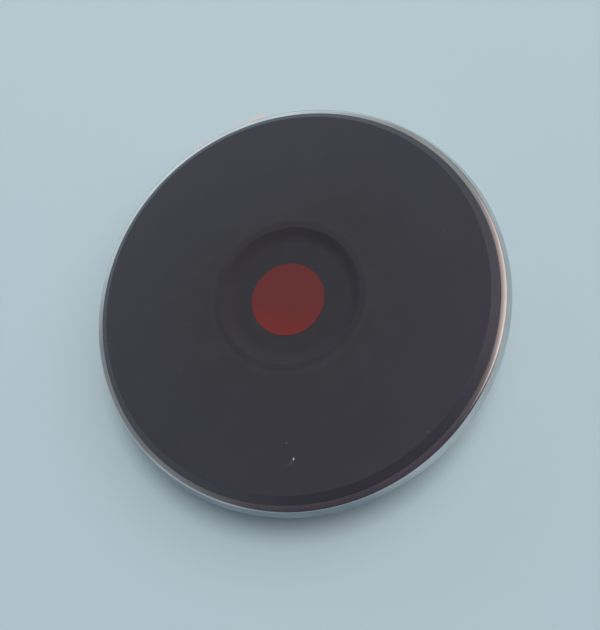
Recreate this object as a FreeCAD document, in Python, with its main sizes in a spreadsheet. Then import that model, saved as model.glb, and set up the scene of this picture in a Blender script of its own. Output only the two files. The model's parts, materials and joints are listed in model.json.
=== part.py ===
import FreeCAD, Part
import math
import os

import Sketcher
from FreeCAD import Placement, Rotation, Vector

# Solid electric hotplate for a hob: a grooved iron casting with embedded heating coils,
# a pressed trim ring, a sheet cover held by a nut on the central stud, and a ceramic
# terminal block on a bracket at the edge. Millimetres. +Z is the plate's axis, up through
# the cooking face; +Y points at the terminal block. The origin lies on the stud, just under
# the cover nut, where the thread that takes the hob's clamping bar starts.

# Driving dimensions
values = {
    # Casting
    "face_height": 9.0,           # cooking face above the hob
    "plate_radius": 90.0,
    "rim_bevel_run": 3.4,
    "rim_bevel_drop": 3.0,
    "rim_round": 0.5,
    "rim_land": 0.6,
    "land_round": 0.25,
    "rim_step": 0.7,              # how far the rim stands out over the outer wall
    "body_depth": 18.0,
    "outer_wall": 4.4,
    "plate_thickness": 6.0,
    "well_radius": 31.5,
    "well_depth": 2.4,
    "well_slope_run": 4.6,
    "well_round": 0.6,
    "well_blend": 7.0,
    "well_floor_thickness": 5.0,
    "rib_length": 7.15,
    "hub_clearance": 4.5,         # thermal cut-out's outer face to the hub cavity's wall
    "boss_radius": 9.0,
    "boss_length": 6.65,
    # Spiral groove
    "groove_pitch": 10.8,
    "groove_mouth": 7.6,
    "groove_draft": 0.6,          # how much each side of the groove leans
    "groove_margin": 0.1,
    "hub_wall": 4.0,              # hub cavity to the middle of the groove, at the least
    # Heating coils and their wires
    "coil_gap": 0.5,
    "wire_radius": 1.0,
    "wire_bend": 1.8,
    "outer_run_drop": 2.8,        # rib ends to the wires from the three outer taps
    "inner_run_drop": 2.3,        # from those to the wires of the thermal cut-out
    # Red dot
    "dot_radius": 16.5,
    "dot_thickness": 0.08,
    "dot_shift_x": -1.4,
    "dot_shift_y": -0.8,
    # Trim ring
    "ring_sheet": 0.6,
    "ring_fit": 0.05,
    "ring_leg_end": 0.5,
    "ring_crest_rise": 0.69,      # rim's underside to the sharp corner of the crest
    "ring_crest_bend": 1.5,
    "ring_shoulder_out": 3.15,
    "ring_shoulder_drop": 1.14,
    "ring_shoulder_bend": 1.6,
    "ring_foot_out": 5.6,
    "ring_foot_bend": 0.9,
    "ring_foot_width": 2.4,
    # Cover
    "cover_sheet": 0.8,
    "cover_centre_rise": 1.5,
    "cover_centre_radius": 14.0,
    "cover_centre_slope": 3.0,
    "cover_dish_depth": 4.85,
    "cover_cone_run": 8.0,
    "cover_rim_width": 8.6,
    "cover_inset": 0.7,
    "cover_bend": 2.0,
    "punch_margin": 1.0,          # how far each punched hole's tool runs past the sheet
    # Stud, nuts and washer
    "stud_radius": 4.0,
    "stud_depth": 8.0,
    "stud_end_gap": 0.2,
    "stud_free_length": 16.4,
    "stud_chamfer": 0.9,
    "stud_fit": 0.05,
    "relief_width": 0.8,
    "relief_depth": 0.4,
    "thread_clear": 0.3,          # free thread's end to the cover nut
    "nut_flats": 13.0,
    "nut_corner_inset": 0.2,      # across the flats to the round edge of each face
    "nut_height": 6.5,
    "jam_nut_height": 4.0,
    "washer_radius": 8.0,
    "washer_thickness": 1.6,
    "washer_fit": 0.4,
    # Thermal cut-out
    "cutout_length": 24.0,
    "cutout_width": 13.0,
    "cutout_height": 7.0,
    "cutout_gap": 2.5,
    "cutout_wall": 1.8,
    "cutout_lid": 1.0,
    "cutout_corner": 2.0,
    "post_radius": 1.5,
    "post_margin": 4.0,
    "post_stand": 0.25,
    "bimetal_width": 5.0,
    "bimetal_sheet": 0.6,
    "bimetal_level": 2.6,
    "bimetal_bow": 0.9,
    "bimetal_bend": 3.0,
    "clip_sheet": 0.6,
    "clip_eye": 2.0,              # strap's metal each side of the stud
    "clip_gap": 1.5,              # strap's tongue to each post
    "clip_tail": 4.5,
    "clip_overhang": 1.0,
    "clip_bend": 0.6,
    "clip_knee": 0.6,
    "clip_toe": 0.3,
    # Ceramic bush
    "bush_offset": 50.0,
    "bush_length": 36.0,
    "bush_width": 9.0,
    "bush_nose": 5.0,
    "bush_flange": 2.0,
    "bush_flange_thickness": 1.5,
    "bush_fit": 0.2,
    # Terminal block
    "block_overhang": 17.0,       # how far the block reaches past the plate
    "block_depth": 29.0,
    "block_height": 15.0,
    "block_floor": 6.0,
    "block_corner": 2.5,
    "terminal_pitch": 9.7,
    "channel_width": 7.5,
    "block_wall": 2.2,
    "block_inner_wall": 3.0,
    "wire_fit": 0.3,
    "strip_inset": 3.0,
    "strip_side_gap": 0.5,
    "strip_thickness": 1.2,
    "strip_margin": 1.0,
    "screw_offset": 9.0,
    "screw_radius": 2.0,
    "screw_fit": 0.05,
    "screw_length": 5.2,
    "screw_end_gap": 0.3,
    "screw_head_inset": 0.2,
    "screw_head": 2.4,
    "slot_width": 0.8,
    "slot_depth": 1.0,
    "clamp_side_gap": 0.45,
    "clamp_thickness": 1.0,
    "lead_bite": 2.0,             # lead's end to the clamp washer
    "sleeve_radius": 2.2,
    "sleeve_gap": 1.5,
    # Bracket
    "bracket_sheet": 1.0,
    "bracket_width": 26.0,
    "bracket_gap": 2.5,           # bush to the bracket
    "bracket_inset": 7.0,         # block's outer face to the bracket's end
    "bracket_corner": 4.0,
    "tab_width": 8.0,
    "tab_inset": 21.0,
    "tab_lip": 2.6,
    "notch_fit": 0.2,
    # Earth blade and locating pin
    "earth_side": 34.0,
    "earth_offset": 44.0,
    "earth_foot": 9.0,
    "blade_width": 6.3,
    "blade_sheet": 0.8,
    "blade_length": 12.0,
    "blade_bend": 1.0,
    "pin_radius": 2.5,
    "pin_shank_radius": 1.8,
    "pin_length": 8.0,
    "pin_chamfer": 0.5,
    "pin_head_radius": 3.4,
    "pin_head": 1.4,
    "pin_side": 36.0,
    "pin_offset": 30.0,
    "pin_fit": 0.05,
}

doc = FreeCAD.newDocument("SolidHotplate")
sheet = doc.addObject("Spreadsheet::Sheet", "Sizes")
for row, (alias, value) in enumerate(values.items(), start=1):
    sheet.set("A%d" % row, alias)
    sheet.set("B%d" % row, str(value))
    sheet.setAlias("B%d" % row, alias)
doc.recompute()


class Size:
    # A number together with the sheet expression that gives it

    def __init__(self, text, value):
        self.text = text
        self.value = value

    def __add__(self, other):
        other = size(other)
        return Size("(%s + %s)" % (self.text, other.text), self.value + other.value)

    def __radd__(self, other):
        return size(other) + self

    def __sub__(self, other):
        other = size(other)
        return Size("(%s - %s)" % (self.text, other.text), self.value - other.value)

    def __rsub__(self, other):
        return size(other) - self

    def __mul__(self, other):
        other = size(other)
        return Size("(%s * %s)" % (self.text, other.text), self.value * other.value)

    def __rmul__(self, other):
        return size(other) * self

    def __truediv__(self, other):
        other = size(other)
        return Size("(%s / %s)" % (self.text, other.text), self.value / other.value)

    def __neg__(self):
        return size(0) - self


def size(number):
    if isinstance(number, Size):
        return number
    return Size("(%r)" % float(number), float(number))


class Sizes:
    pass


s = Sizes()
for alias, value in values.items():
    setattr(s, alias, Size("Sizes." + alias, value))


def bind(target, prop, amount):
    target.setExpression(prop, size(amount).text)


# Levels along the axis, all from the origin on the stud
zero = size(0)
nut_level = s.thread_clear
washer_level = nut_level + s.nut_height
centre_level = washer_level + s.washer_thickness + s.cover_sheet
field_level = centre_level - s.cover_centre_rise
field_under = field_level - s.cover_sheet
wall_level = field_level + s.cover_dish_depth
face_level = wall_level + s.body_depth
hob_level = face_level - s.face_height
bevel_foot = face_level - s.rim_bevel_drop
land_level = bevel_foot - s.rim_land
groove_level = face_level - s.plate_thickness
rib_level = groove_level - s.rib_length
well_floor = face_level - s.well_depth
hub_level = well_floor - s.well_floor_thickness
boss_level = hub_level - s.boss_length
coil_radius = s.groove_mouth / 2 - s.groove_draft - s.coil_gap
coil_level = groove_level - s.coil_gap - coil_radius
coil_bottom = coil_level - coil_radius
outer_run_level = rib_level - s.outer_run_drop
inner_run_level = outer_run_level - s.inner_run_drop
cutout_under = hub_level - s.cutout_height
post_level = cutout_under - s.cutout_lid - s.post_stand
block_top = field_under - s.bracket_sheet
channel_level = block_top - s.block_floor
block_bottom = block_top - s.block_height
strip_under = channel_level - s.strip_thickness
lead_level = strip_under - s.wire_radius

# Distances from the axis
body_radius = s.plate_radius - s.rim_step
wall_inside = body_radius - s.outer_wall
cover_radius = body_radius - s.cover_inset
cover_cone_radius = cover_radius - s.cover_rim_width
cover_field_radius = cover_cone_radius - s.cover_cone_run
cutout_offset = s.boss_radius + s.cutout_gap + s.cutout_width / 2
post_side = s.cutout_length / 2 - s.post_margin
hub_radius = cutout_offset + s.cutout_width / 2 + s.hub_clearance
block_reach = s.plate_radius + s.block_overhang
block_inner = block_reach - s.block_depth
channel_start = block_inner + s.block_inner_wall
screw_y = block_reach - s.screw_offset
clamp_half = s.channel_width / 2 - s.clamp_side_gap
tab_y = block_reach - s.tab_inset


def draw(sketch, corners, closed=True):
    # Straight runs through the corners (u, v), or (u, v, r) where a bend of radius r is
    flat = [Vector(size(c[0]).value, size(c[1]).value, 0) for c in corners]
    count = len(corners)
    runs = count if closed else count - 1
    starts = {}
    ends = {}
    bends = []
    for i, corner in enumerate(corners):
        starts[i] = flat[i]
        ends[i] = flat[i]
        if len(corner) < 3:
            continue
        radius = size(corner[2]).value
        before = (flat[i] - flat[i - 1]).normalize()
        after = (flat[(i + 1) % count] - flat[i]).normalize()
        turn = before.x * after.y - before.y * after.x
        angle = before.getAngle(after)
        reach = radius * math.tan(angle / 2)
        ends[i] = flat[i] - before * reach
        starts[i] = flat[i] + after * reach
        side = 1 if turn > 0 else -1
        centre = ends[i] + Vector(-before.y, before.x, 0) * radius * side
        bends.append((i, centre, radius, side))
    lines = []
    for i in range(runs):
        segment = Part.LineSegment(starts[i], ends[(i + 1) % count])
        lines.append(sketch.addGeometry(segment, False))
    rules = []
    bound = []

    def place(geometry, position, corner):
        for kind, axis, amount in (("DistanceX", -2, size(corner[0])), ("DistanceY", -1, size(corner[1]))):
            if amount is zero:
                rules.append(Sketcher.Constraint("PointOnObject", geometry, position, axis))
            else:
                rules.append(Sketcher.Constraint(kind, geometry, position, amount.value))
                bound.append((len(rules) - 1, amount))

    bent = set()
    for i, centre, radius, side in bends:
        bent.add(i)
        first, last = (ends[i], starts[i]) if side > 0 else (starts[i], ends[i])
        angles = [math.atan2(p.y - centre.y, p.x - centre.x) for p in (first, last)]
        if angles[1] < angles[0]:
            angles[1] += 2 * math.pi
        circle = Part.Circle(centre, Vector(0, 0, 1), radius)
        arc = sketch.addGeometry(Part.ArcOfCircle(circle, angles[0], angles[1]), False)
        mark = sketch.addGeometry(Part.Point(flat[i]), True)
        line_in = lines[(i - 1) % count]
        line_out = lines[i]
        near, far = (1, 2) if side > 0 else (2, 1)
        rules.append(Sketcher.Constraint("Tangent", line_in, 2, arc, near))
        rules.append(Sketcher.Constraint("Tangent", arc, far, line_out, 1))
        rules.append(Sketcher.Constraint("PointOnObject", mark, 1, line_in))
        rules.append(Sketcher.Constraint("PointOnObject", mark, 1, line_out))
        rules.append(Sketcher.Constraint("Radius", arc, radius))
        bound.append((len(rules) - 1, size(corners[i][2])))
        place(mark, 1, corners[i])
    for i, corner in enumerate(corners):
        if i in bent:
            continue
        if i < runs:
            place(lines[i], 1, corner)
            if closed or i > 0:
                rules.append(Sketcher.Constraint("Coincident", lines[i - 1], 2, lines[i], 1))
        else:
            place(lines[i - 1], 2, corner)
    indices = sketch.addConstraint(rules)
    for index, amount in bound:
        bind(sketch, "Constraints[%d]" % indices[index], amount)


def draw_circle(sketch, u, v, radius):
    u, v, radius = size(u), size(v), size(radius)
    circle = Part.Circle(Vector(u.value, v.value, 0), Vector(0, 0, 1), radius.value)
    index = sketch.addGeometry(circle, False)
    rules = [Sketcher.Constraint("Radius", index, radius.value)]
    bound = [radius]
    for kind, axis, amount in (("DistanceX", -2, u), ("DistanceY", -1, v)):
        if amount is zero:
            rules.append(Sketcher.Constraint("PointOnObject", index, 3, axis))
            bound.append(None)
        else:
            rules.append(Sketcher.Constraint(kind, index, 3, amount.value))
            bound.append(amount)
    for index, amount in zip(sketch.addConstraint(rules), bound):
        if amount is not None:
            bind(sketch, "Constraints[%d]" % index, amount)


def new_body(label):
    body = doc.addObject("PartDesign::Body", label)
    body.Label = label
    return body


def sketch_on(body, role, shift=(zero, zero, zero)):
    # On XZ_Plane the sketch's own axis points to -Y, on YZ_Plane to +X, on XY_Plane to +Z
    sketch = body.newObject("Sketcher::SketchObject", body.Name + "_sketch")
    plane = next(f for f in body.Origin.OriginFeatures if f.Role == role)
    sketch.AttachmentSupport = [(plane, "")]
    sketch.MapMode = "FlatFace"
    for axis, amount in zip("xyz", shift):
        if amount is not zero:
            bind(sketch, "AttachmentOffset.Base." + axis, amount)
    return sketch


def feature(body, kind, sketch, **settings):
    doc.recompute()
    before = body.Shape.Volume if body.Tip is not None else 0
    made = body.newObject("PartDesign::" + kind, body.Name + "_" + kind.lower())
    made.Profile = sketch
    if kind in ("Revolution", "Groove"):
        made.ReferenceAxis = (sketch, ["V_Axis"])
        made.Angle = settings.pop("angle", 360)
    else:
        bind(made, "Length", settings.pop("length"))
    made.Reversed = settings.pop("reverse", False)
    body.Tip = made
    doc.recompute()
    after = body.Shape.Volume
    grows = kind in ("Revolution", "Pad")
    if made.Shape.isNull() or (after <= before) == grows:
        raise RuntimeError("%s of %s changed nothing" % (kind, body.Label))
    return made


def turned(label, corners):
    # A turned piece: half its section, revolved about the plate's axis
    body = new_body(label)
    sketch = sketch_on(body, "XZ_Plane")
    draw(sketch, corners)
    feature(body, "Revolution", sketch)
    return body


def slab(body, low, thickness, corners):
    sketch = sketch_on(body, "XY_Plane", (zero, zero, low))
    draw(sketch, corners)
    return feature(body, "Pad", sketch, length=thickness)


def hole_down(body, top, depth, outline):
    # Cuts down from a level; the outline is a list of corners, or (u, v, radius) of a circle
    sketch = sketch_on(body, "XY_Plane", (zero, zero, top))
    if isinstance(outline, list):
        draw(sketch, outline)
    else:
        draw_circle(sketch, *outline)
    return feature(body, "Pocket", sketch, length=depth)


def rod(body, x, y, low, length, radius):
    sketch = sketch_on(body, "XY_Plane", (zero, zero, low))
    draw_circle(sketch, x, y, radius)
    return feature(body, "Pad", sketch, length=length)


def rectangle(x_low, x_high, y_low, y_high, *radius):
    return [(x_low, y_low, *radius), (x_high, y_low, *radius),
            (x_high, y_high, *radius), (x_low, y_high, *radius)]


def stadium(x, y, length, width):
    # Round-ended slot along X; the bends stay just short of meeting
    half = length / 2
    end = width / 2
    bend = width * 0.499
    return rectangle(x - half, x + half, y - end, y + end, bend)


def sheet_outline(label, corners, thickness):
    # A strip of sheet in the XZ plane: a bent line, and the sheet's thickness to its right
    path = doc.addObject("Sketcher::SketchObject", label + "_line")
    path.Placement = Placement(Vector(0, 0, 0), Rotation(Vector(1, 0, 0), 90))
    draw(path, corners, closed=False)
    strip = doc.addObject("Part::Offset2D", label + "_strip")
    strip.Source = path
    strip.Mode = "Skin"
    strip.Fill = True
    bind(strip, "Value", -thickness)
    doc.recompute()
    return strip


def sheet_turned(label, corners, thickness):
    strip = sheet_outline(label, corners, thickness)
    shell = doc.addObject("Part::Revolution", label)
    shell.Label = label
    shell.Source = strip
    shell.Axis = Vector(0, 0, 1)
    shell.Base = Vector(0, 0, 0)
    shell.Angle = 360
    shell.Solid = True
    doc.recompute()
    return shell


def cut(label, base, tools):
    tool = tools[0]
    if len(tools) > 1:
        tool = doc.addObject("Part::Compound", label + "_tools")
        tool.Links = tools
    made = doc.addObject("Part::Cut", label)
    made.Label = label
    made.Base = base
    made.Tool = tool
    made.Refine = True
    doc.recompute()
    return made


def group(label, members):
    made = doc.addObject("Part::Compound", label)
    made.Label = label
    made.Links = members
    doc.recompute()
    return made


def hexagon(corner_radius):
    return [(corner_radius * math.cos(math.radians(60 * k)),
             corner_radius * math.sin(math.radians(60 * k))) for k in range(6)]


# Spiral of half turns: each is centred a quarter pitch off the axis, so they run on smoothly.
# It starts beside the outer wall and has as many whole turns as fit round the hub cavity.
groove_end_radius = wall_inside - s.groove_margin - s.groove_mouth / 2
spiral_room = groove_end_radius - hub_radius - s.hub_wall
turns = int(spiral_room.value / s.groove_pitch.value)
half_turns = 2 * turns
taps = [half_turns, half_turns - 2, half_turns - 4]


def tap_radius(half_turn):
    return groove_end_radius - s.groove_pitch * ((half_turns - half_turn) / 2)


def half_turn(body, kind, index, section):
    side = -1 if index % 2 == 0 else 1
    sketch = sketch_on(body, "YZ_Plane", (s.groove_pitch * (side / 4), zero, zero))
    section(sketch, tap_radius(index) + s.groove_pitch / 4)
    feature(body, kind, sketch, angle=180, reverse=index % 2 == 0)


def groove_section(sketch, middle):
    mouth = s.groove_mouth / 2
    floor = mouth - s.groove_draft
    draw(sketch, [(middle - mouth, rib_level), (middle + mouth, rib_level),
                  (middle + floor, groove_level), (middle - floor, groove_level)])


def coil_section(sketch, middle):
    draw_circle(sketch, middle, coil_level, coil_radius)


def groove_end(body, kind, half_turn_index):
    sketch = sketch_on(body, "YZ_Plane", (tap_radius(half_turn_index), zero, zero))
    mouth = s.groove_mouth / 2
    draw(sketch, [(zero, rib_level), (mouth, rib_level),
                  (mouth - s.groove_draft, groove_level), (zero, groove_level)])
    feature(body, kind, sketch)


def cast_plate():
    foot = s.well_radius - s.well_slope_run
    flat_edge = s.plate_radius - s.rim_bevel_run
    stud_top = boss_level + s.stud_depth
    body = turned("cast_plate", [
        (zero, stud_top), (s.stud_radius + s.stud_fit, stud_top),
        (s.stud_radius + s.stud_fit, boss_level), (s.boss_radius, boss_level),
        (s.boss_radius, hub_level), (hub_radius, hub_level),
        (hub_radius, rib_level), (wall_inside, rib_level),
        (wall_inside, wall_level), (body_radius, wall_level),
        (body_radius, land_level), (s.plate_radius, land_level),
        (s.plate_radius, bevel_foot, s.land_round), (flat_edge, face_level, s.rim_round),
        (s.well_radius, face_level, s.well_round),
        (foot, well_floor, s.well_blend), (zero, well_floor)])
    for index in range(half_turns):
        half_turn(body, "Groove", index, groove_section)
    groove_end(body, "Groove", 0)
    groove_end(body, "Groove", half_turns)
    return body


def coil(label, first, last):
    body = new_body(label)
    for index in range(first, last):
        half_turn(body, "Revolution", index, coil_section)
    return body


def embedding_compound():
    # Fills the groove flush with the ribs, and holds the coils and their taps
    body = new_body("embedding_compound")
    for index in range(half_turns):
        half_turn(body, "Revolution", index, groove_section)
    groove_end(body, "Revolution", 0)
    groove_end(body, "Revolution", half_turns)
    for index in range(half_turns):
        half_turn(body, "Groove", index, coil_section)
    for tap in taps + [0]:
        sketch = sketch_on(body, "XY_Plane", (zero, zero, rib_level))
        draw_circle(sketch, zero, tap_radius(tap), s.wire_radius)
        feature(body, "Pocket", sketch, length=coil_level - rib_level, reverse=True)
    return body


def wire(label, points, bend):
    # A round wire through the points, with a bend of the given radius at each corner
    spots = [Vector(*[size(c).value for c in p]) for p in points]
    edges = []
    start = spots[0]
    for i in range(1, len(spots) - 1):
        before = (spots[i] - spots[i - 1]).normalize()
        after = (spots[i + 1] - spots[i]).normalize()
        angle = before.getAngle(after)
        reach = bend * math.tan(angle / 2)
        first = spots[i] - before * reach
        last = spots[i] + after * reach
        inward = (after - before).normalize()
        middle = spots[i] + inward * (bend / math.cos(angle / 2) - bend)
        if (first - start).Length > 0.001:
            edges.append(Part.LineSegment(start, first).toShape())
        edges.append(Part.Arc(first, middle, last).toShape())
        start = last
    edges.append(Part.LineSegment(start, spots[-1]).toShape())
    path = Part.Wire(edges)
    along = (spots[1] - spots[0]).normalize()
    ring = Part.Wire([Part.Circle(spots[0], along, sheet.wire_radius).toShape()])
    made = doc.addObject("Part::Feature", label)
    made.Label = label
    made.Shape = path.makePipeShell([ring], True, True)
    return made


terminals = range(1, 5)
terminal_middle = (terminals[0] + terminals[-1]) / 2


def terminal_x(number):
    return s.terminal_pitch * (number - terminal_middle)


lead_end = screw_y - clamp_half - s.lead_bite


def leads():
    made = []
    for number, tap in enumerate(taps, start=1):
        x = terminal_x(number)
        made.append(wire("lead_%d" % number, [
            (0, tap_radius(tap), coil_bottom), (0, tap_radius(tap), outer_run_level),
            (x, s.bush_offset, outer_run_level), (x, s.bush_offset, lead_level),
            (x, lead_end, lead_level)], sheet.wire_bend))
    x = terminal_x(terminals[-1])
    made.append(wire("lead_%d" % terminals[-1], [
        (post_side, cutout_offset, post_level), (post_side, cutout_offset, inner_run_level),
        (x, s.bush_offset, inner_run_level), (x, s.bush_offset, lead_level),
        (x, lead_end, lead_level)], sheet.wire_bend))
    return made


def cutout_link():
    return wire("cutout_link", [
        (0, tap_radius(0), coil_bottom), (0, tap_radius(0), inner_run_level),
        (-post_side, cutout_offset, inner_run_level),
        (-post_side, cutout_offset, post_level)], sheet.wire_bend)


def red_dot():
    body = new_body("red_dot")
    rod(body, s.dot_shift_x, s.dot_shift_y, well_floor, s.dot_thickness, s.dot_radius)
    return body


def trim_ring():
    leg = body_radius + s.ring_fit
    foot = leg + s.ring_foot_out
    crest = land_level + s.ring_crest_rise
    return sheet_turned("trim_ring", [
        (leg, hob_level + s.ring_leg_end),
        (leg, crest, s.ring_crest_bend),
        (leg + s.ring_shoulder_out, crest - s.ring_shoulder_drop, s.ring_shoulder_bend),
        (foot, hob_level, s.ring_foot_bend),
        (foot - s.ring_foot_width, hob_level)], s.ring_sheet)


def cover_plate():
    shell = sheet_turned("cover_shell", [
        (s.stud_radius + s.washer_fit, centre_level),
        (s.cover_centre_radius, centre_level, s.cover_bend),
        (s.cover_centre_radius + s.cover_centre_slope, field_level, s.cover_bend),
        (cover_field_radius, field_level, s.cover_bend),
        (cover_cone_radius, wall_level, s.cover_bend),
        (cover_radius, wall_level)], s.cover_sheet)
    low = field_under - s.punch_margin
    stroke = s.cover_sheet + 2 * s.punch_margin
    punch = new_body("cover_punch")
    slot = stadium(zero, s.bush_offset, s.bush_length + 2 * s.bush_fit, s.bush_width + 2 * s.bush_fit)
    slab(punch, low, stroke, slot)
    pin_punch = new_body("pin_punch")
    rod(pin_punch, -s.pin_side, -s.pin_offset, low, stroke, s.pin_shank_radius + s.pin_fit)
    return cut("cover_plate", shell, [punch, pin_punch])


def fixing_stud():
    top = boss_level + s.stud_depth - s.stud_end_gap
    tip = -s.stud_free_length
    neck = s.stud_radius - s.relief_depth
    return turned("fixing_stud", [
        (zero, tip), (s.stud_radius - s.stud_chamfer, tip), (s.stud_radius, tip + s.stud_chamfer),
        (s.stud_radius, zero), (neck, zero), (neck, s.relief_width),
        (s.stud_radius, s.relief_width), (s.stud_radius, top), (zero, top)])


def nut(label, low, height):
    # The corners are turned off at 30 degrees, on both faces
    body = new_body(label)
    corner = s.nut_flats / math.sqrt(3)
    slab(body, low, height, hexagon(corner))
    edge = s.nut_flats / 2 - s.nut_corner_inset
    drop = (corner - edge) * math.tan(math.radians(30))
    for face, inner in ((low, low + drop), (low + height, low + height - drop)):
        sketch = sketch_on(body, "XZ_Plane")
        draw(sketch, [(edge, face), (corner, face), (corner, inner)])
        feature(body, "Groove", sketch)
    hole_down(body, low + height, height, (zero, zero, s.stud_radius + s.stud_fit))
    return body


def cover_washer():
    top = washer_level + s.washer_thickness
    bore = s.stud_radius + s.washer_fit
    return turned("cover_washer", [
        (bore, washer_level), (s.washer_radius, washer_level),
        (s.washer_radius, top), (bore, top)])


def cutout_body():
    body = new_body("cutout_body")
    half = s.cutout_length / 2
    side = s.cutout_width / 2
    y = cutout_offset
    slab(body, cutout_under, s.cutout_height,
         rectangle(-half, half, y - side, y + side, s.cutout_corner))
    wall = s.cutout_wall
    sketch = sketch_on(body, "XY_Plane", (zero, zero, cutout_under))
    draw(sketch, rectangle(-half + wall, half - wall, y - side + wall, y + side - wall))
    feature(body, "Pocket", sketch, length=s.cutout_height - wall, reverse=True)
    return body


def cutout_lid():
    body = new_body("cutout_lid")
    half = s.cutout_length / 2
    side = s.cutout_width / 2
    y = cutout_offset
    low = cutout_under - s.cutout_lid
    slab(body, low, s.cutout_lid, rectangle(-half, half, y - side, y + side, s.cutout_corner))
    for x in (-post_side, post_side):
        hole_down(body, cutout_under, s.cutout_lid, (x, y, s.post_radius + s.stud_fit))
    return body


def cutout_posts():
    posts = []
    top = hub_level - s.cutout_wall
    for side, x in (("left", -post_side), ("right", post_side)):
        body = new_body("cutout_post_" + side)
        rod(body, x, cutout_offset, post_level, top - post_level, s.post_radius)
        posts.append(body)
    return posts


def cutout_bimetal():
    reach = post_side - s.post_radius
    level = cutout_under + s.bimetal_level
    bend = s.bimetal_bend
    strip = sheet_outline("bimetal", [
        (-reach, level), (-reach / 2, level, bend), (zero, level - s.bimetal_bow, bend),
        (reach / 2, level, bend), (reach, level)], s.bimetal_sheet)
    made = doc.addObject("Part::Extrusion", "cutout_bimetal")
    made.Label = "cutout_bimetal"
    made.Base = strip
    made.Dir = Vector(0, 1, 0)
    made.DirMode = "Custom"
    bind(made, "LengthFwd", s.bimetal_width)
    made.Solid = True
    bind(made, "Placement.Base.y", cutout_offset - s.bimetal_width / 2)
    doc.recompute()
    return made


def cutout_clip():
    under = cutout_under - s.cutout_lid
    start = -(s.stud_radius + s.clip_tail)
    end = cutout_offset + s.cutout_width / 2 + s.clip_overhang
    knee = s.boss_radius + s.clip_knee
    toe = cutout_offset - s.cutout_width / 2 - s.clip_toe
    eye = s.stud_radius + s.clip_eye
    tongue = post_side - s.post_radius - s.clip_gap
    strip = sheet_outline("clip", [
        (start, boss_level), (knee, boss_level, s.clip_bend),
        (toe, under, s.clip_bend), (end, under)], s.clip_sheet)
    plate = doc.addObject("Part::Extrusion", "clip_plate")
    plate.Base = strip
    plate.Dir = Vector(0, 1, 0)
    plate.DirMode = "Custom"
    bind(plate, "LengthFwd", eye * 2)
    plate.Solid = True
    plate.Placement = Placement(Vector(0, 0, 0), Rotation(Vector(0, 0, 1), 90))
    bind(plate, "Placement.Base.x", eye)
    low = boss_level - s.clip_sheet - s.punch_margin
    stroke = s.clip_sheet + 2 * s.punch_margin
    punches = [new_body("clip_punch")]
    rod(punches[0], zero, zero, low, stroke, s.stud_radius + s.stud_fit)
    low = under - s.clip_sheet - s.punch_margin
    for side in (-1, 1):
        notch = new_body("clip_notch")
        slab(notch, low, boss_level + s.punch_margin - low,
             rectangle(*sorted((eye * side, tongue * side), key=lambda x: x.value),
                       knee, end + s.punch_margin))
        punches.append(notch)
    return cut("cutout_clip", plate, punches)


def feed_bush():
    body = new_body("feed_bush")
    y = s.bush_offset
    bottom = field_under - s.bush_nose
    slab(body, bottom, field_level - bottom, stadium(zero, y, s.bush_length, s.bush_width))
    flange = 2 * s.bush_flange
    slab(body, field_level, s.bush_flange_thickness,
         stadium(zero, y, s.bush_length + flange, s.bush_width + flange))
    top = field_level + s.bush_flange_thickness
    for number in terminals:
        hole_down(body, top, top - bottom, (terminal_x(number), y, s.wire_radius + s.stud_fit))
    return body


def block_half():
    return terminal_x(terminals[-1]) + s.channel_width / 2 + s.block_wall


def terminal_block():
    body = new_body("terminal_block")
    half = block_half()
    slab(body, block_bottom, s.block_height,
         rectangle(-half, half, block_inner, block_reach, s.block_corner))
    wide = s.channel_width / 2
    slot = s.wire_radius + s.wire_fit
    for number in terminals:
        x = terminal_x(number)
        sketch = sketch_on(body, "XY_Plane", (zero, zero, block_bottom))
        draw(sketch, rectangle(x - wide, x + wide, channel_start, block_reach))
        feature(body, "Pocket", sketch, length=s.block_height - s.block_floor, reverse=True)
        sketch = sketch_on(body, "XY_Plane", (zero, zero, block_bottom))
        draw(sketch, rectangle(x - slot, x + slot, block_inner, channel_start))
        notch = lead_level + s.wire_radius + s.wire_fit - block_bottom
        feature(body, "Pocket", sketch, length=notch, reverse=True)
        sketch = sketch_on(body, "XY_Plane", (zero, zero, channel_level))
        draw_circle(sketch, x, screw_y, s.screw_radius + s.wire_fit)
        feature(body, "Pocket", sketch, length=s.screw_length - s.strip_thickness, reverse=True)
    tab = s.tab_width / 2 + s.notch_fit
    for low, high in ((-half, -half + s.bracket_sheet), (half - s.bracket_sheet, half)):
        hole_down(body, block_top, s.block_height, rectangle(low, high, tab_y - tab, tab_y + tab))
    return body


def terminal_strips():
    made = []
    start = channel_start + s.strip_inset
    end = block_reach - s.strip_margin
    wide = s.channel_width / 2 - s.strip_side_gap
    for number in terminals:
        x = terminal_x(number)
        body = new_body("terminal_strip_%d" % number)
        slab(body, strip_under, s.strip_thickness, rectangle(x - wide, x + wide, start, end))
        hole_down(body, channel_level, s.strip_thickness, (x, screw_y, s.screw_radius + s.screw_fit))
        made.append(body)
    return made


def clamp_washers():
    members = []
    y = screw_y
    half = clamp_half
    for number in terminals:
        x = terminal_x(number)
        body = new_body("clamp_washer_%d" % number)
        slab(body, strip_under - s.clamp_thickness, s.clamp_thickness,
             rectangle(x - half, x + half, y - half, y + half))
        hole_down(body, strip_under, s.clamp_thickness, (x, y, s.screw_radius + s.screw_fit))
        members.append(body)
    return group("clamp_washers", members)


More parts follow.
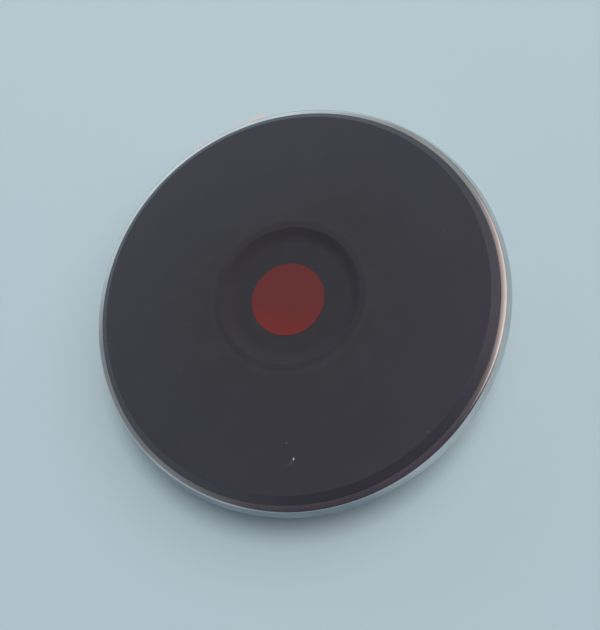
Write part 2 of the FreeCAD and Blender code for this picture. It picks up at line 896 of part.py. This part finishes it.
def terminal_screws():
    members = []
    y = screw_y
    under_head = strip_under - s.clamp_thickness
    head = clamp_half - s.screw_head_inset
    shank = s.clamp_thickness + s.screw_length - s.screw_end_gap
    wide = s.slot_width / 2
    for number in terminals:
        x = terminal_x(number)
        body = new_body("terminal_screw_%d" % number)
        rod(body, x, y, under_head - s.screw_head, s.screw_head, head)
        rod(body, x, y, under_head, shank, s.screw_radius)
        sketch = sketch_on(body, "XY_Plane", (zero, zero, under_head - s.screw_head))
        draw(sketch, rectangle(x - head, x + head, y - wide, y + wide))
        feature(body, "Pocket", sketch, length=s.slot_depth, reverse=True)
        members.append(body)
    return group("terminal_screws", members)


def lead_sleeves():
    made = []
    start = s.bush_offset + s.bush_width / 2 + s.sleeve_gap
    length = block_inner - s.sleeve_gap - start
    for number in terminals:
        body = new_body("lead_sleeve_%d" % number)
        sketch = sketch_on(body, "XZ_Plane", (zero, zero, -start - length))
        draw_circle(sketch, terminal_x(number), lead_level, s.sleeve_radius)
        draw_circle(sketch, terminal_x(number), lead_level, s.wire_radius)
        feature(body, "Pad", sketch, length=length)
        made.append(body)
    return made


def block_bracket():
    body = new_body("block_bracket")
    sheet_size = s.bracket_sheet
    strap = s.bracket_width / 2
    half = block_half()
    tab = s.tab_width / 2
    start = s.bush_offset + s.bush_width / 2 + s.bracket_gap
    end = block_reach - s.bracket_inset
    slab(body, block_top, sheet_size, rectangle(-strap, strap, start, end, s.bracket_corner))
    slab(body, block_top, sheet_size, rectangle(-half, half, tab_y - tab, tab_y + tab))
    lip_level = block_bottom - sheet_size
    for side in (-1, 1):
        outer = half * side
        inner = (half - sheet_size) * side
        lip = (half - s.tab_lip) * side
        x_low, x_high = (outer, inner) if side < 0 else (inner, outer)
        slab(body, lip_level, block_top - lip_level, rectangle(x_low, x_high, tab_y - tab, tab_y + tab))
        x_low, x_high = (outer, lip) if side < 0 else (lip, outer)
        slab(body, lip_level, sheet_size, rectangle(x_low, x_high, tab_y - tab, tab_y + tab))
    return body


def earth_blade():
    end = s.earth_side + s.earth_foot
    strip = sheet_outline("blade", [
        (end, field_under), (s.earth_side, field_under, s.blade_bend),
        (s.earth_side, field_under - s.blade_length)], -s.blade_sheet)
    made = doc.addObject("Part::Extrusion", "earth_blade")
    made.Label = "earth_blade"
    made.Base = strip
    made.Dir = Vector(0, 1, 0)
    made.DirMode = "Custom"
    bind(made, "LengthFwd", s.blade_width)
    made.Solid = True
    bind(made, "Placement.Base.y", s.earth_offset - s.blade_width / 2)
    doc.recompute()
    return made


def locating_pin():
    body = new_body("locating_pin")
    sketch = sketch_on(body, "XZ_Plane", (-s.pin_side, zero, s.pin_offset))
    tip = field_under - s.pin_length
    neck = s.pin_radius - s.pin_chamfer
    draw(sketch, [(zero, tip), (neck, tip), (s.pin_radius, tip + s.pin_chamfer),
                  (s.pin_radius, field_under - s.pin_chamfer), (neck, field_under),
                  (s.pin_shank_radius, field_under), (s.pin_shank_radius, field_level),
                  (s.pin_head_radius, field_level), (s.pin_head_radius, field_level + s.pin_head),
                  (zero, field_level + s.pin_head)])
    feature(body, "Revolution", sketch)
    return body


coils = [coil("outer_coil", taps[1], taps[0]), coil("middle_coil", taps[2], taps[1]),
         coil("inner_coil", 0, taps[2])]
lead_wires = leads()
link = cutout_link()
nodes = [cast_plate(), trim_ring(), red_dot()]
nodes += coils
nodes += lead_wires
nodes += [link]
nodes.append(embedding_compound())
nodes += [cover_plate(), fixing_stud(), cover_washer()]
nodes.append(nut("cover_nut", nut_level, s.nut_height))
nodes.append(nut("jam_nut", boss_level - s.clip_sheet - s.jam_nut_height, s.jam_nut_height))
nodes += [cutout_body(), cutout_lid(), cutout_bimetal(), cutout_clip()]
nodes += cutout_posts()
nodes += [feed_bush(), terminal_block()]
nodes += terminal_strips()
nodes += [clamp_washers(), terminal_screws()]
nodes += lead_sleeves()
nodes += [block_bracket(), earth_blade(), locating_pin()]

doc.recompute()
for item in doc.Objects:
    if "Invalid" in item.State or "Error" in item.State:
        raise RuntimeError("%s failed: %s" % (item.Label, item.State))

os.makedirs("parts", exist_ok=True)
for node in nodes:
    shape = node.Shape
    if shape.isNull() or not shape.isValid():
        raise RuntimeError(node.Label + " has no valid shape")
    shape.exportStep("parts/%s.step" % node.Label)
    print("%-20s %d solids %9.1f mm3" % (node.Label, len(shape.Solids), shape.Volume))
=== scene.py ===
import json
import math

import bpy
from mathutils import Matrix, Vector


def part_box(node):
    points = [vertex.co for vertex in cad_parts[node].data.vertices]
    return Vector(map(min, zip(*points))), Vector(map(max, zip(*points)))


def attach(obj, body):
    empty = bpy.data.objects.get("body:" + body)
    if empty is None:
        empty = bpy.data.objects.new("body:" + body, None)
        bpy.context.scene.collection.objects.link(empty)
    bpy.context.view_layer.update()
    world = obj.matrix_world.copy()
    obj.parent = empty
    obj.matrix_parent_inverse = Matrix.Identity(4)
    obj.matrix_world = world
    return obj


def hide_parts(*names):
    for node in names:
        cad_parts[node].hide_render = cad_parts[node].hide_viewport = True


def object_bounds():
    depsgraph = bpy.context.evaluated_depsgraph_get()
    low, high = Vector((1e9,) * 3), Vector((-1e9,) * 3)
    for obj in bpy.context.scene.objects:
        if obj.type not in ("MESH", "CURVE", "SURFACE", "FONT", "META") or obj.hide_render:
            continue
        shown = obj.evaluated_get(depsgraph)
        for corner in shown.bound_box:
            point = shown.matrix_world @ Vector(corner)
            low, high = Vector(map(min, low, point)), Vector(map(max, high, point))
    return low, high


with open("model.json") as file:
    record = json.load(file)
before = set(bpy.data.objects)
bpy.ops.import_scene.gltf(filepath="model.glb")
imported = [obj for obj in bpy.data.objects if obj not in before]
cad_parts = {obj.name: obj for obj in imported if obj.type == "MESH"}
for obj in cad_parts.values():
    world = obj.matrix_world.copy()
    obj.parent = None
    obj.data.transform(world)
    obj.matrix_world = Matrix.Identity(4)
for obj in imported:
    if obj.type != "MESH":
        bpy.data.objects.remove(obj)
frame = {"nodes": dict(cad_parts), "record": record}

nodes = frame["nodes"]
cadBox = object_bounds()
mm = 0.001
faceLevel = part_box("cast_plate")[1].z
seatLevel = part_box("trim_ring")[0].z
print("frame loaded:", len(nodes), "nodes")


class Link:
    # A node's output; sums and products with numbers or other outputs add Math nodes

    def __init__(self, graph, socket):
        self.graph = graph
        self.socket = socket

    def maths(self, operation, first, second=0.0):
        return self.graph.node("ShaderNodeMath", {"operation": operation}, {0: first, 1: second})

    def __add__(self, other):
        return self.maths("ADD", self, other)

    def __radd__(self, other):
        return self.maths("ADD", other, self)

    def __sub__(self, other):
        return self.maths("SUBTRACT", self, other)

    def __rsub__(self, other):
        return self.maths("SUBTRACT", other, self)

    def __mul__(self, other):
        return self.maths("MULTIPLY", self, other)

    def __rmul__(self, other):
        return self.maths("MULTIPLY", other, self)

    def __pow__(self, other):
        return self.maths("POWER", self, other)

    def larger(self, other):
        return self.maths("MAXIMUM", self, other)

    def wave(self):
        return self.maths("SINE", self)


class Graph:
    # The node tree of a material or of the room; node() adds every node in it

    def __init__(self, owner):
        owner.use_nodes = True
        self.tree = owner.node_tree
        self.tree.nodes.clear()

    def node(self, kind, settings=None, inputs=None, output=0):
        made = self.tree.nodes.new(kind)
        for name, value in (settings or {}).items():
            setattr(made, name, value)
        for name, value in (inputs or {}).items():
            if isinstance(value, Link):
                self.tree.links.new(value.socket, made.inputs[name])
            else:
                made.inputs[name].default_value = value
        return Link(self, made.outputs[output])

    def show(self, kind, shader):
        output = self.tree.nodes.new(kind)
        self.tree.links.new(shader.socket, output.inputs["Surface"])

    def axes(self, point):
        split = self.node("ShaderNodeSeparateXYZ", inputs={0: point}).socket.node
        return [Link(self, split.outputs[i]) for i in range(3)]

    def noise(self, point, size, detail=3.0, rough=0.5):
        # Soft noise from 0 to 1 whose lumps are about that size in metres
        return self.node("ShaderNodeTexNoise", inputs={
            "Vector": point, "Scale": 1.0 / size, "Detail": detail, "Roughness": rough})

    def level(self, value, low, high, first=0.0, last=1.0):
        # Goes smoothly from first to last as the value goes from low to high
        return self.node("ShaderNodeMapRange", {"interpolation_type": "SMOOTHSTEP"}, {
            "Value": value, "From Min": low, "From Max": high, "To Min": first, "To Max": last})

    def blend(self, factor, first, last):
        # Colour that goes from the first to the last as the factor goes from 0 to 1
        values = {0: factor}
        for socket, colour in ((6, first), (7, last)):
            values[socket] = colour if isinstance(colour, Link) else (*colour, 1.0)
        return self.node("ShaderNodeMix", {"data_type": "RGBA"}, values, output=2)


class Finish(Graph):
    # One material: a Principled shader, and what varies it over the surface

    def __init__(self, name, **constants):
        self.material = bpy.data.materials.new(name)
        super().__init__(self.material)
        self.shader = self.node("ShaderNodeBsdfPrincipled")
        self.show("ShaderNodeOutputMaterial", self.shader)
        self.point = self.node("ShaderNodeTexCoord", output="Object")
        for name, value in constants.items():
            self.shader.socket.node.inputs[name.replace("_", " ")].default_value = value

    def feed(self, **inputs):
        for name, value in inputs.items():
            self.tree.links.new(value.socket, self.shader.socket.node.inputs[name.replace("_", " ")])

    def bump(self, height, distance):
        return self.node("ShaderNodeBump", inputs={"Height": height, "Distance": distance})

    def turnedPoint(self, place, angle, scale):
        # Coordinates about a place, turned about Z and scaled, for a mark on the surface
        return self.node("ShaderNodeMapping", {"vector_type": "TEXTURE"}, {
            "Vector": self.point, "Location": place, "Rotation": (0.0, 0.0, angle), "Scale": scale})

    def mark(self, place, angle, long, wide, edge=0.35):
        # 1 inside a small oval on the surface, fading to 0 outside it
        local = self.turnedPoint(place, angle, (long, wide, 2.0 * long))
        away = self.node("ShaderNodeVectorMath", {"operation": "LENGTH"}, {0: local}, output=1)
        return self.level(away, 1.0 - edge, 1.0 + edge, 1.0, 0.0)


def linear(*screen):
    # A colour as it looks on a screen, 0 to 255, in the shader's own light values
    return tuple(((c / 255 + 0.055) / 1.055) ** 2.4 if c > 10 else c / 255 / 12.92 for c in screen)


# Iron casting: dark coating, a little glossier outside the recess, with the few marks it has picked up
ironCoat = {
    "middle": linear(41, 39, 43),
    "outer": linear(45, 43, 53),
    "pale": linear(60, 58, 64),
    "chip": linear(178, 184, 192),
    "roughness": 0.46,
    "recessMatt": 0.34,     # what the recess is rougher by
    "recessEdge": (33 * mm, 37 * mm),
    "fade": (35 * mm, 90 * mm),     # radii between which the middle's colour goes over to the outer one
    "blotchSize": 38 * mm,
    "blotches": (0.3, 0.7, 0.0, 0.3),       # noise levels, and how much of the colour shows at each
    "patchSize": 9 * mm,
    "patches": (0.4, 0.75, 0.0, 0.12),
    "grainSize": 0.5 * mm,
    "grains": (0.45, 0.8, 0.0, 0.22),
    "grainHeight": 0.035 * mm,
    "grainRough": 0.16,
    "blotchRough": 0.1,
    "marks": [  # x, y, angle in degrees, half length and half width in millimetres, strength
        (-23.68, -67.6, 62, 0.55, 0.3, 1.0), (-24.06, -60.25, 20, 0.26, 0.2, 0.3),
        (-84.31, 15.76, 0, 0.25, 0.2, 0.25), (31.02, -79.77, 40, 0.25, 0.2, 0.3),
        (-51.79, -71.04, 100, 0.4, 0.22, 0.25), (0.42, -89.2, 0, 0.3, 0.2, 0.3),
        (71.95, -3.57, 30, 0.25, 0.2, 0.2), (-47.13, 7.96, 75, 0.3, 0.18, 0.18),
        (-57.37, -10.46, 15, 0.3, 0.18, 0.18), (-26.5, -68.6, 15, 2.9, 0.12, 0.1),
        (-25.25, -68.9, 38, 1.1, 0.11, 0.12)],
}


def finishCasting():
    made = Finish("castIron", Specular_IOR_Level=0.9)
    x, y, z = made.axes(made.point)
    radius = (x * x + y * y) ** 0.5
    broad = made.noise(made.point, ironCoat["blotchSize"], 2.0)
    patchAndMirroredShadow = made.noise(made.point, ironCoat["patchSize"], 3.0, 0.6)
    fine = made.noise(made.point, ironCoat["grainSize"], 4.0, 0.6)
    shade = made.blend(made.level(radius, *ironCoat["fade"]), ironCoat["middle"], ironCoat["outer"])
    shade = made.blend(made.level(broad, *ironCoat["blotches"]), shade, ironCoat["outer"])
    shade = made.blend(made.level(patchAndMirroredShadow, *ironCoat["patches"]), shade, ironCoat["pale"])
    shade = made.blend(made.level(fine, *ironCoat["grains"]), shade, ironCoat["pale"])
    for px, py, angle, long, wide, strength in ironCoat["marks"]:
        mark = made.mark((px * mm, py * mm, faceLevel), math.radians(angle), long * mm, wide * mm)
        shade = made.blend(mark * strength, shade, ironCoat["chip"])
    made.feed(Base_Color=shade)
    matt = made.level(radius, *ironCoat["recessEdge"], ironCoat["recessMatt"], 0.0)
    rough = ironCoat["roughness"] + matt
    rough = rough + (fine - 0.5) * ironCoat["grainRough"] + (broad - 0.5) * ironCoat["blotchRough"]
    made.feed(Roughness=rough)
    made.feed(Normal=made.bump(fine, ironCoat["grainHeight"]))
    return made.material


# Red paint dot in the recess, with painted light: a little lighter towards its lower left
dotPaint = {
    "deep": linear(92, 43, 43),
    "red": linear(102, 43, 42),
    "rim": linear(109, 42, 40),
    "roughness": 0.62,
    "cloudSize": 9 * mm,
    "grainSize": 0.5 * mm,
    "grainHeight": 0.03 * mm,
    "grainRough": 0.15,
    "paintedLightSide": (-0.6, -0.8),
    "paintedLightReach": (4 * mm, 16 * mm),
}


def finishDot():
    made = Finish("dotPaint", Specular_IOR_Level=0.35)
    x, y, z = made.axes(made.point)
    broad = made.noise(made.point, dotPaint["cloudSize"], 2.0)
    fine = made.noise(made.point, dotPaint["grainSize"], 3.0)
    sideX, sideY = dotPaint["paintedLightSide"]
    # Painted light: a lighter red laid over the dot's lower-left side, where the light falls
    paintedLight = made.level(x * sideX + y * sideY, *dotPaint["paintedLightReach"])
    shade = made.blend(broad, dotPaint["deep"], dotPaint["red"])
    shade = made.blend(paintedLight, shade, dotPaint["rim"])
    made.feed(Base_Color=shade)
    made.feed(Roughness=dotPaint["roughness"] + (fine - 0.5) * dotPaint["grainRough"])
    made.feed(Normal=made.bump(fine, dotPaint["grainHeight"]))
    return made.material


# Pressed trim ring: bright stainless with fine polishing lines that run round it
trimSteel = {
    "light": (0.70, 0.69, 0.68),
    "dark": (0.60, 0.595, 0.59),
    "rough": 0.16,
    "linesPerMetre": 9000.0,
    "lineHeight": 0.0012 * mm,
    "lineRough": 0.06,
    "cloudSize": 16 * mm,
    "cloudRough": 0.05,
}


def finishTrim():
    made = Finish("trimSteel", Metallic=1.0)
    x, y, z = made.axes(made.point)
    radius = (x * x + y * y) ** 0.5
    close = trimSteel["linesPerMetre"]
    around = made.node("ShaderNodeCombineXYZ", inputs={0: radius * close, 1: z * close, 2: 0.0})
    lines = made.node("ShaderNodeTexNoise", inputs={"Vector": around, "Scale": 1.0, "Detail": 2.0})
    cloud = made.noise(made.point, trimSteel["cloudSize"], 3.0)
    made.feed(Base_Color=made.blend(made.level(cloud, 0.3, 0.7), trimSteel["dark"], trimSteel["light"]))
    rough = trimSteel["rough"] + (lines - 0.5) * trimSteel["lineRough"]
    made.feed(Roughness=rough + (cloud - 0.5) * trimSteel["cloudRough"])
    made.feed(Normal=made.bump(lines, trimSteel["lineHeight"]))
    return made.material


# Sheet, plated and drawn metals: colours, roughness, and the size and depth of their grain in
# millimetres; their clouds are twelve grains wide
metals = {
    "coverSteel": {"light": (0.60, 0.61, 0.62), "dark": (0.44, 0.45, 0.46),
                   "rough": 0.40, "grain": 1.6, "dent": 0.012},
    "zincSteel": {"light": (0.62, 0.63, 0.66), "dark": (0.50, 0.51, 0.55),
                  "rough": 0.30, "grain": 0.8, "dent": 0.006},
    "brassParts": {"light": (0.66, 0.60, 0.48), "dark": (0.55, 0.48, 0.35),
                   "rough": 0.30, "grain": 1.0, "dent": 0.005},
    "springSteel": {"light": (0.42, 0.40, 0.37), "dark": (0.33, 0.31, 0.29),
                    "rough": 0.36, "grain": 1.0, "dent": 0.006},
    "nickelWire": {"light": (0.60, 0.57, 0.52), "dark": (0.48, 0.45, 0.41),
                   "rough": 0.34, "grain": 0.6, "dent": 0.006},
    "coilWire": {"light": (0.34, 0.31, 0.29), "dark": (0.24, 0.22, 0.21),
                 "rough": 0.50, "grain": 0.5, "dent": 0.02},
}


def finishMetal(name):
    look = metals[name]
    made = Finish(name, Metallic=1.0)
    cloud = made.noise(made.point, look["grain"] * 12 * mm, 3.0)
    fine = made.noise(made.point, look["grain"] * mm, 3.0, 0.6)
    made.feed(Base_Color=made.blend(made.level(cloud, 0.3, 0.7), look["dark"], look["light"]))
    rough = look["rough"]
    made.feed(Roughness=rough + (fine - 0.5) * 0.2 * rough + (cloud - 0.5) * 0.25 * rough)
    made.feed(Normal=made.bump(fine, look["dent"] * mm))
    return made.material


# Unglazed ceramic of the terminal block and the bush
ceramic = {"pale": (0.66, 0.615, 0.605), "warm": (0.57, 0.52, 0.51), "speck": (0.36, 0.32, 0.30),
           "cloudSize": 7 * mm, "speckSize": 0.35 * mm, "specks": (0.68, 0.8, 0.0, 0.5),
           "grainHeight": 0.03 * mm}


def finishCeramic():
    made = Finish("steatite", Roughness=0.62)
    broad = made.noise(made.point, ceramic["cloudSize"], 3.0)
    fine = made.noise(made.point, ceramic["speckSize"], 2.0, 0.7)
    shade = made.blend(broad, ceramic["warm"], ceramic["pale"])
    shade = made.blend(made.level(fine, *ceramic["specks"]), shade, ceramic["speck"])
    made.feed(Base_Color=shade)
    made.feed(Normal=made.bump(fine, ceramic["grainHeight"]))
    return made.material


# Pressed insulating powder round the coils
powder = {"dark": (0.52, 0.48, 0.42), "light": (0.68, 0.64, 0.58),
          "grainSize": 0.6 * mm, "grainHeight": 0.08 * mm}


def finishPowder():
    made = Finish("embedding", Roughness=0.9)
    fine = made.noise(made.point, powder["grainSize"], 4.0, 0.7)
    made.feed(Base_Color=made.blend(fine, powder["dark"], powder["light"]))
    made.feed(Normal=made.bump(fine, powder["grainHeight"]))
    return made.material


# Braided glass yarn of the sleeves: two sets of slanting ridges, with painted shade in the hollows between
# them
sleeve = {"dark": (0.55, 0.53, 0.48), "light": (0.82, 0.80, 0.74), "waves": 3200.0,
          "ridges": (-0.4, 0.9), "yarnHeight": 0.08 * mm}


def finishSleeve():
    made = Finish("glassSleeve", Roughness=0.75)
    x, y, z = made.axes(made.point)
    turn = z * sleeve["waves"]
    run = y * sleeve["waves"]
    braid = (run + turn).wave().larger((run - turn).wave())
    ridgeShade = made.level(braid, *sleeve["ridges"])
    # Painted shade: the yarn is made darker in the braid's hollows
    made.feed(Base_Color=made.blend(ridgeShade, sleeve["dark"], sleeve["light"]))
    made.feed(Normal=made.bump(braid, sleeve["yarnHeight"]))
    return made.material


finishes = {
    "castIron": finishCasting(),
    "dotPaint": finishDot(),
    "trimSteel": finishTrim(),
    "steatite": finishCeramic(),
    "embedding": finishPowder(),
    "glassSleeve": finishSleeve(),
}
for metal in metals:
    finishes[metal] = finishMetal(metal)

slotFinish = {
    "cast_iron": "castIron", "trim_steel": "trimSteel", "dot_paint": "dotPaint", "embedding": "embedding",
    "resistance_wire": "coilWire", "nickel_wire": "nickelWire", "cover_steel": "coverSteel",
    "zinc_steel": "zincSteel", "ceramic": "steatite", "brass": "brassParts", "spring_steel": "springSteel",
    "sleeve": "glassSleeve",
}
for row in frame["record"]["subparts"]:
    nodes[row["node"]].material_slots[0].material = finishes[slotFinish[row["material_slot"]]]
print("materials done")


# Helpers for new pieces: vertices are picked by their place, then worked on with the usual operators
def startPiece(name):
    bpy.ops.object.select_all(action="DESELECT")
    bpy.ops.mesh.primitive_plane_add(size=2 * mm, location=(0, 0, 0))
    piece = bpy.context.object
    piece.name = name
    piece.data.name = name
    return piece


def pick(piece, wanted):
    # Selects the vertices that the test says yes to, and nothing else; ends in edit mode
    if piece.mode == "EDIT":
        bpy.ops.object.mode_set(mode="OBJECT")
    for group in (piece.data.vertices, piece.data.edges, piece.data.polygons):
        group.foreach_set("select", [False] * len(group))
    for vertex in piece.data.vertices:
        vertex.select = wanted(vertex)
    bpy.ops.object.mode_set(mode="EDIT")
    bpy.ops.mesh.select_mode(type="VERT")


def drawLine(piece, corners, segments=10):
    # Makes the piece a bent line in the XZ plane: corners (x, z) or (x, z, bend radius), in millimetres
    bpy.ops.object.mode_set(mode="EDIT")
    bpy.ops.mesh.select_all(action="SELECT")
    bpy.ops.mesh.merge(type="CENTER")
    spots = [Vector((corner[0], 0, corner[1])) * mm for corner in corners]
    bpy.ops.transform.translate(value=spots[0])
    for before, after in zip(spots, spots[1:]):
        bpy.ops.mesh.extrude_region_move(TRANSFORM_OT_translate={"value": after - before})
    for i, corner in enumerate(corners):
        if len(corner) < 3:
            continue
        turn = (spots[i] - spots[i - 1]).angle(spots[i + 1] - spots[i])
        pick(piece, lambda vertex: (vertex.co - spots[i]).length < 0.01 * mm)
        reach = corner[2] * mm * math.tan(turn / 2)
        bpy.ops.mesh.bevel(affect="VERTICES", offset=reach, segments=segments)
    bpy.ops.object.mode_set(mode="OBJECT")


def modify(piece, kind, **settings):
    made = piece.modifiers.new(kind.lower(), kind)
    for name, value in settings.items():
        setattr(made, name, value)
    bpy.ops.object.modifier_apply(modifier=made.name)


def closeUp(piece):
    # Merges doubles and turns all faces outwards
    bpy.ops.object.mode_set(mode="EDIT")
    bpy.ops.mesh.select_all(action="SELECT")
    bpy.ops.mesh.remove_doubles(threshold=0.001 * mm)
    bpy.ops.mesh.normals_make_consistent(inside=False)
    bpy.ops.object.mode_set(mode="OBJECT")


def finishPiece(piece, finish, smooth=40):
    bpy.ops.object.select_all(action="DESELECT")
    piece.select_set(True)
    bpy.context.view_layer.objects.active = piece
    bpy.ops.object.shade_smooth_by_angle(angle=math.radians(smooth))
    piece.data.materials.clear()
    piece.data.materials.append(finishes[finish])
    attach(piece, "root")
    low, high = [[f(v.co[i] for v in piece.data.vertices) / mm for i in range(3)] for f in (min, max)]
    print(piece.name, len(piece.data.polygons), "faces", [round(v, 2) for v in low + high])


# Trim ring: one pressed strip with a crest beside the rim and a foot that turns in, spun finely
# because its curve mirrors the room. Millimetres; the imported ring's form with a tighter crest.
ring = {"leg": 89.35, "legEnd": 0.5, "crestUnder": 3.36, "crestBend": 0.7, "shoulderOut": 3.15,
        "shoulderDrop": 0.69, "shoulderBend": 1.6, "footOut": 5.6, "footBend": 0.9, "footWidth": 2.4,
        "sheet": 0.6, "steps": 480}


def makeRing():
    seat = seatLevel / mm
    crest = faceLevel / mm - ring["crestUnder"]
    foot = ring["leg"] + ring["footOut"]
    piece = startPiece("pressedTrimRing")
    drawLine(piece, [
        (ring["leg"], seat + ring["legEnd"]), (ring["leg"], crest, ring["crestBend"]),
        (ring["leg"] + ring["shoulderOut"], crest - ring["shoulderDrop"], ring["shoulderBend"]),
        (foot, seat, ring["footBend"]), (foot - ring["footWidth"], seat)])
    modify(piece, "SCREW", axis="Z", steps=ring["steps"], render_steps=ring["steps"],
           use_merge_vertices=True)
    closeUp(piece)
    modify(piece, "SOLIDIFY", thickness=ring["sheet"] * mm, offset=-1.0, use_even_offset=True)
    finishPiece(piece, "trimSteel")
    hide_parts("trim_ring")


makeRing()
print("trim ring done")


# Table top under the stud, so wide that its edge is never near; a painted shadow darkens a patch of it
# that only the trim's reflections show
table = {
    "half": 12.0,
    "gap": 0.1 * mm,
    "far": linear(184, 201, 208),
    "near": linear(178, 196, 204),
    "towardFar": (0.419, 0.858),
    "fade": (-160 * mm, 200 * mm),
    "cloudSize": 60 * mm,
    "clouds": (0.3, 0.7, 0.0, 0.06),
    "patchAndMirroredShadow": linear(122, 142, 152),
    "mirroredShadowAt": (-70 * mm, -105 * mm),
    "mirroredShadowReach": (70 * mm, 150 * mm),
}


def makeTable():
    bpy.ops.object.select_all(action="DESELECT")
    level = cadBox[0].z - table["gap"]
    bpy.ops.mesh.primitive_plane_add(size=2 * table["half"], location=(0, 0, 0))
    top = bpy.context.object
    top.name = "tableTop"
    top.data.transform(Matrix.Translation((0, 0, level)))
    made = Finish("tablePaper", Roughness=0.9, Specular_IOR_Level=0.15)
    x, y, z = made.axes(made.point)
    farX, farY = table["towardFar"]
    cloud = made.noise(made.point, table["cloudSize"], 2.0)
    # Painted shade: the table is made a little darker towards the camera's side
    shade = made.blend(made.level(x * farX + y * farY, *table["fade"]), table["near"], table["far"])
    shade = made.blend(made.level(cloud, *table["clouds"]), shade, table["near"])
    patchX, patchY = table["mirroredShadowAt"]
    away = ((x - patchX) ** 2.0 + (y - patchY) ** 2.0) ** 0.5
    patchAndMirroredShadow = made.level(away, *table["mirroredShadowReach"], 1.0, 0.0)
    inMirror = made.node("ShaderNodeLightPath", output="Is Glossy Ray")
    # Painted shadow: a darker patch beside the ring that only mirrored rays see
    made.feed(Base_Color=made.blend(patchAndMirroredShadow * inMirror, shade, table["patchAndMirroredShadow"]))
    top.data.materials.append(made.material)


makeTable()

# Camera of the photograph: eye from the middle of the cooking face, and its view and side axes
camera = {
    "eye": (46.8 * mm, -156.95 * mm, 355.5 * mm),
    "right": (0.9003, -0.3499, -0.2590),
    "up": (0.4190, 0.8575, 0.2983),
    "focalPixels": 900.0,
    "tallPixels": 630.0,
    "sensor": 36.0,
    "clip": (0.01, 100.0),
}


def makeCamera():
    data = bpy.data.cameras.new("photoCamera")
    data.sensor_width = camera["sensor"]
    data.lens = camera["sensor"] * camera["focalPixels"] / camera["tallPixels"]
    data.clip_start, data.clip_end = camera["clip"]
    item = bpy.data.objects.new("photoCamera", data)
    bpy.context.scene.collection.objects.link(item)
    right = Vector(camera["right"]).normalized()
    up = Vector(camera["up"])
    up = (up - right * up.dot(right)).normalized()
    turn = Matrix((right, up, right.cross(up))).transposed().to_4x4()
    item.matrix_world = Matrix.Translation(Vector(camera["eye"]) + Vector((0, 0, faceLevel))) @ turn
    bpy.context.scene.camera = item


makeCamera()

# Light: a soft key almost overhead, a little from the right, and a wider and weaker one round it
lights = {
    "key": {"toward": (0.30, -0.04, 1.0), "strength": 1.68, "angle": 22.0,
            "colour": (1.03, 0.995, 0.95)},
    "wide": {"toward": (0.48, -0.055, 1.0), "strength": 1.08, "angle": 66.0,
             "colour": (1.03, 0.995, 0.96)},
}


def makeLight(name):
    look = lights[name]
    data = bpy.data.lights.new(name, "SUN")
    data.energy = look["strength"]
    data.angle = math.radians(look["angle"])
    data.color = look["colour"]
    item = bpy.data.objects.new(name, data)
    item.visible_glossy = False     # the room's own panels are what the bright trim mirrors
    item.rotation_mode = "QUATERNION"
    item.rotation_quaternion = Vector(look["toward"]).to_track_quat("Z", "Y")
    bpy.context.scene.collection.objects.link(item)


for name in lights:
    makeLight(name)

# Room: pale low down on the far side, with a bright window on the right and a dark side behind the
# camera; each panel is a soft round patch. The trim mirrors it in full, and it adds less light than
# that to the matt surfaces.
room = {
    "low": (0.30, 0.30, 0.31),
    "high": (0.115, 0.105, 0.11),
    "fade": (0.05, 0.5),              # heights between which the low colour goes over to the high one
    "backdrop": linear(184, 201, 208),
    "spread": (0.36, 0.48, 0.60),     # share of the room's brightness in the light that it adds
    "panels": [  # towards, half angle and soft edge in degrees, colour
        {"toward": (-0.95, 0.25, 0.45), "half": 14, "soft": 30, "colour": (0.24, 0.27, 0.30)},
        {"toward": (-0.1, -1.0, 0.45), "half": 42, "soft": 26, "colour": (0.07, 0.06, 0.085)},
        {"toward": (-0.14, 1.0, 0.25), "half": 14, "soft": 38, "colour": (0.80, 0.97, 1.04)},
        {"toward": (-0.95, -0.3, 0.08), "half": 12, "soft": 22, "colour": (0.44, 0.48, 0.54)},
        {"toward": (0.6, 0.8, 0.78), "half": 5, "soft": 20, "colour": (0.40, 0.42, 0.43)},
        {"toward": (1.0, -0.05, 0.78), "half": 16, "soft": 20, "colour": (1.15, 0.97, 0.93)},
    ],
}


def makeRoom():
    world = bpy.data.worlds.new("room")
    bpy.context.scene.world = world
    made = Graph(world)
    ray = made.node("ShaderNodeTexCoord", output="Generated")
    x, y, z = made.axes(ray)
    shade = made.blend(made.level(z, *room["fade"]), room["low"], room["high"])
    for panel in room["panels"]:
        toward = Vector(panel["toward"]).normalized()
        facing = made.node("ShaderNodeVectorMath", {"operation": "DOT_PRODUCT"},
                           {0: ray, 1: toward}, output=1)
        inner = math.cos(math.radians(panel["half"]))
        outer = math.cos(math.radians(panel["half"] + panel["soft"]))
        shade = made.blend(made.level(facing, outer, inner), shade, panel["colour"])
    inMirror = made.node("ShaderNodeLightPath", output="Is Glossy Ray")
    added = made.node("ShaderNodeVectorMath", {"operation": "MULTIPLY"}, {0: shade, 1: room["spread"]})
    lit = made.node("ShaderNodeBackground", inputs={"Color": made.blend(inMirror, added, shade)})
    seen = made.node("ShaderNodeBackground", inputs={"Color": (*room["backdrop"], 1.0)})
    fromCamera = made.node("ShaderNodeLightPath", output="Is Camera Ray")
    mixed = made.node("ShaderNodeMixShader", inputs={0: fromCamera, 1: lit, 2: seen})
    made.show("ShaderNodeOutputWorld", mixed)


makeRoom()
bpy.context.scene.view_settings.view_transform = "Standard"
print("stage, camera and lights done")
